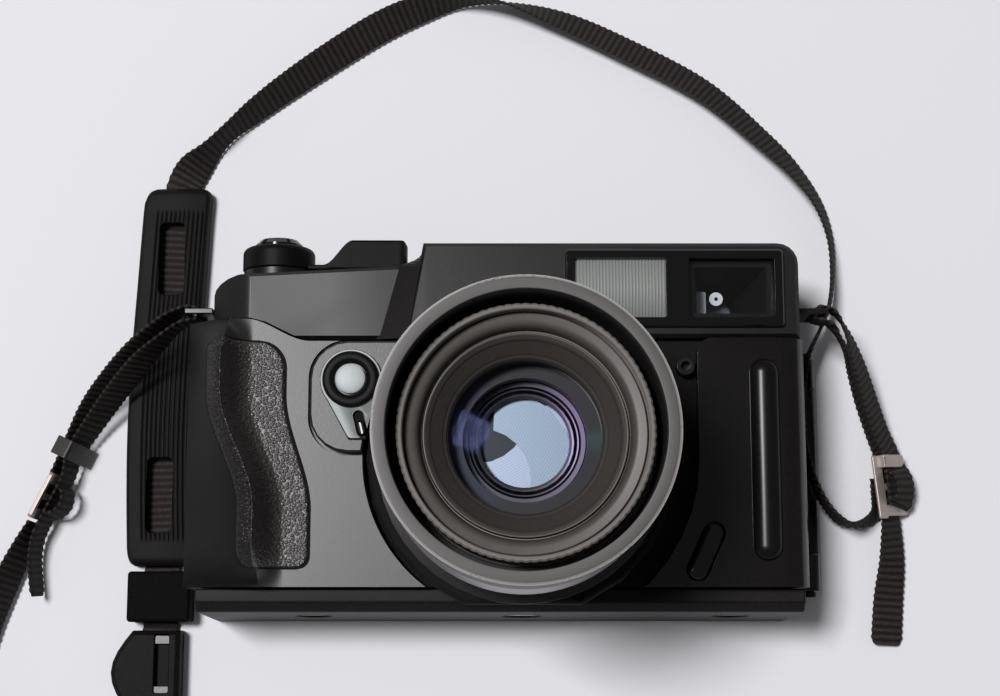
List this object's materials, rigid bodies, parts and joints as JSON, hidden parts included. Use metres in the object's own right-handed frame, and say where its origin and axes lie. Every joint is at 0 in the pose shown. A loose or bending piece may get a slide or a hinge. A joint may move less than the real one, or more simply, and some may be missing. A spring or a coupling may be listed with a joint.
{
  "type": "rangefinder camera",
  "caption": "Rigid black roll-film rangefinder camera with a fixed lens, leaf shutter, pull-out hood, moulded grip and webbing neck strap.",
  "frame": {"origin": "on the lens axis, in the plane of the closed camera back", "axes": "+Z along the lens axis towards the subject, +Y to the top of the camera, +X to its door-hinge side"},
  "size_m": [0.3091, 0.2746, 0.129],
  "materials": {
    "black_plastic": "fine-grained moulded black",
    "gloss_black": "polished black",
    "rubber": "matt, pebbled",
    "cast_alloy": "die-cast, matt black paint",
    "black_alloy": "black anodised",
    "steel": "plain steel",
    "silver": "bright satin",
    "blade_steel": "thin spring steel",
    "nickel": "nickel plate",
    "gunmetal": "dark plated steel",
    "glass": "coated optical glass",
    "frosted": "ribbed frosted acrylic",
    "webbing": "ribbed woven nylon"
  },
  "bodies": {
    "camera_body": {"base_cover": "black_plastic", "chassis": "cast_alloy", "eyepiece_lens": "glass", "finder_tunnel": "black_plastic", "grip_cover": "black_plastic", "grip_rubber": "rubber", "helicoid_base": "black_alloy", "hinge_pin": "steel", "hot_shoe": "steel", "illumination_window": "frosted", "keeper_left": "gunmetal", "lens_plate": "black_plastic", "release_collar": "gloss_black", "release_plate": "black_plastic", "right_cover": "black_plastic", "shoulder_pad": "rubber", "slider_left": "gunmetal", "slider_right": "nickel", "strap_box": "gloss_black", "strap_clip": "gloss_black", "strap_left_end": "webbing", "strap_lug_left": "steel", "strap_lug_right": "steel", "strap_main": "webbing", "strap_right_end": "webbing", "sync_terminal": "steel", "top_cover": "black_plastic", "tripod_socket": "steel", "viewfinder_window": "glass", "window_frame": "gloss_black"},
    "back_door": {"back_door": "black_plastic", "pressure_plate": "black_alloy"},
    "door_latch": {"door_latch": "black_plastic"},
    "take_up_spool": {"take_up_spool": "black_plastic", "take_up_key": "steel"},
    "film_roller_left": {"film_roller_left": "steel"},
    "film_roller_right": {"film_roller_right": "steel"},
    "spool_knob_left": {"spool_knob_left": "gunmetal"},
    "spool_knob_right": {"spool_knob_right": "gunmetal"},
    "oblong_button": {"oblong_button": "gloss_black"},
    "front_release_button": {"front_release_button": "silver"},
    "release_lock": {"release_lock": "gloss_black"},
    "advance_lever": {"advance_lever": "black_plastic"},
    "top_release_button": {"top_release_button": "black_alloy"},
    "focus_ring": {"focus_ring": "black_alloy"},
    "lens_barrel": {"lens_barrel": "black_alloy", "front_ring": "black_alloy", "front_retainer": "black_alloy", "front_element": "glass", "inner_element": "glass", "rear_element": "glass", "shutter_case": "black_alloy"},
    "shutter_speed_ring": {"shutter_speed_ring": "black_alloy"},
    "aperture_ring": {"aperture_ring": "black_alloy"},
    "lens_hood": {"lens_hood": "black_alloy"},
    "shutter_blade_1": {"shutter_blade_1": "blade_steel"},
    "shutter_blade_2": {"shutter_blade_2": "blade_steel"},
    "shutter_blade_3": {"shutter_blade_3": "blade_steel"},
    "shutter_blade_4": {"shutter_blade_4": "blade_steel"},
    "shutter_blade_5": {"shutter_blade_5": "blade_steel"}
  },
  "joints": [
    {"name": "door_swing", "type": "hinge", "parent": "camera_body", "child": "back_door", "pos_m": [0.0944, 0, 0.006], "axis": [0, -1, 0], "range_deg": [0, 100]},
    {"name": "latch_slide", "type": "slide", "parent": "camera_body", "child": "door_latch", "axis": [0, -1, 0], "range_m": [0, 0.005]},
    {"name": "lever_turn", "type": "hinge", "parent": "camera_body", "child": "advance_lever", "pos_m": [-0.0785, 0.0622, 0.03], "axis": [0, 1, 0], "range_deg": [0, 130], "stiffness_Nm_per_rad": 0.03, "springref_deg": -20.05},
    {"name": "take_up_turn", "type": "hinge", "parent": "camera_body", "child": "take_up_spool", "pos_m": [-0.066, 0, 0.0236], "axis": [0, 1, 0], "range_deg": [0, 290]},
    {"name": "roller_left_turn", "type": "hinge", "parent": "camera_body", "child": "film_roller_left", "pos_m": [-0.0478, 0, 0.0106], "axis": [0, 1, 0], "continuous": true},
    {"name": "roller_right_turn", "type": "hinge", "parent": "camera_body", "child": "film_roller_right", "pos_m": [0.0478, 0, 0.0106], "axis": [0, 1, 0], "continuous": true},
    {"name": "knob_left_pull", "type": "slide", "parent": "camera_body", "child": "spool_knob_left", "axis": [0, -1, 0], "range_m": [0, 0.005], "stiffness_N_per_m": 200, "springref_m": -0.004},
    {"name": "knob_right_pull", "type": "slide", "parent": "camera_body", "child": "spool_knob_right", "axis": [0, -1, 0], "range_m": [0, 0.005], "stiffness_N_per_m": 200, "springref_m": -0.004},
    {"name": "front_release_press", "type": "slide", "parent": "camera_body", "child": "front_release_button", "axis": [0, 0, -1], "range_m": [0, 0.0022], "stiffness_N_per_m": 400, "springref_m": -0.001},
    {"name": "lock_slide", "type": "slide", "parent": "camera_body", "child": "release_lock", "axis": [-0.2419, 0.9703, 0], "range_m": [0, 0.003]},
    {"name": "oblong_press", "type": "slide", "parent": "camera_body", "child": "oblong_button", "axis": [0, 0, -1], "range_m": [0, 0.0015], "stiffness_N_per_m": 400, "springref_m": -0.001},
    {"name": "top_release_press", "type": "slide", "parent": "camera_body", "child": "top_release_button", "axis": [0, -1, 0], "range_m": [0, 0.0022], "stiffness_N_per_m": 400, "springref_m": -0.001},
    {"name": "focus_turn", "type": "hinge", "parent": "camera_body", "child": "focus_ring", "pos_m": [0, 0, 0.0664], "axis": [0, 0, 1], "range_deg": [0, 150]},
    {"name": "barrel_travel", "type": "slide", "parent": "camera_body", "child": "lens_barrel", "axis": [0, 0, 1], "range_m": [0, 0.01]},
    {"name": "speed_turn", "type": "hinge", "parent": "lens_barrel", "child": "shutter_speed_ring", "pos_m": [0, 0, 0.0834], "axis": [0, 0, 1], "range_deg": [0, 180]},
    {"name": "aperture_turn", "type": "hinge", "parent": "lens_barrel", "child": "aperture_ring", "pos_m": [0, 0, 0.0898], "axis": [0, 0, 1], "range_deg": [0, 90]},
    {"name": "hood_pull", "type": "slide", "parent": "lens_barrel", "child": "lens_hood", "axis": [0, 0, 1], "range_m": [0, 0.02]},
    {"name": "blade_1_swing", "type": "hinge", "parent": "lens_barrel", "child": "shutter_blade_1", "pos_m": [0.023, 0, 0.0868], "axis": [0, 0, -1], "range_deg": [0, 40]},
    {"name": "blade_2_swing", "type": "hinge", "parent": "lens_barrel", "child": "shutter_blade_2", "pos_m": [0.00711, 0.02187, 0.0868], "axis": [0, 0, -1], "range_deg": [0, 40]},
    {"name": "blade_3_swing", "type": "hinge", "parent": "lens_barrel", "child": "shutter_blade_3", "pos_m": [-0.01861, 0.01352, 0.0868], "axis": [0, 0, -1], "range_deg": [0, 40]},
    {"name": "blade_4_swing", "type": "hinge", "parent": "lens_barrel", "child": "shutter_blade_4", "pos_m": [-0.01861, -0.01352, 0.0868], "axis": [0, 0, -1], "range_deg": [0, 40]},
    {"name": "blade_5_swing", "type": "hinge", "parent": "lens_barrel", "child": "shutter_blade_5", "pos_m": [0.00711, -0.02187, 0.0868], "axis": [0, 0, -1], "range_deg": [0, 40]}
  ],
  "couplings": [
    {"joint": "focus_turn", "follows": "barrel_travel", "rad_per_m": 261},
    {"joint": "take_up_turn", "follows": "lever_turn", "ratio": 2.2},
    {"joint": "blade_2_swing", "follows": "blade_1_swing", "ratio": 1},
    {"joint": "blade_3_swing", "follows": "blade_1_swing", "ratio": 1},
    {"joint": "blade_4_swing", "follows": "blade_1_swing", "ratio": 1},
    {"joint": "blade_5_swing", "follows": "blade_1_swing", "ratio": 1}
  ]
}
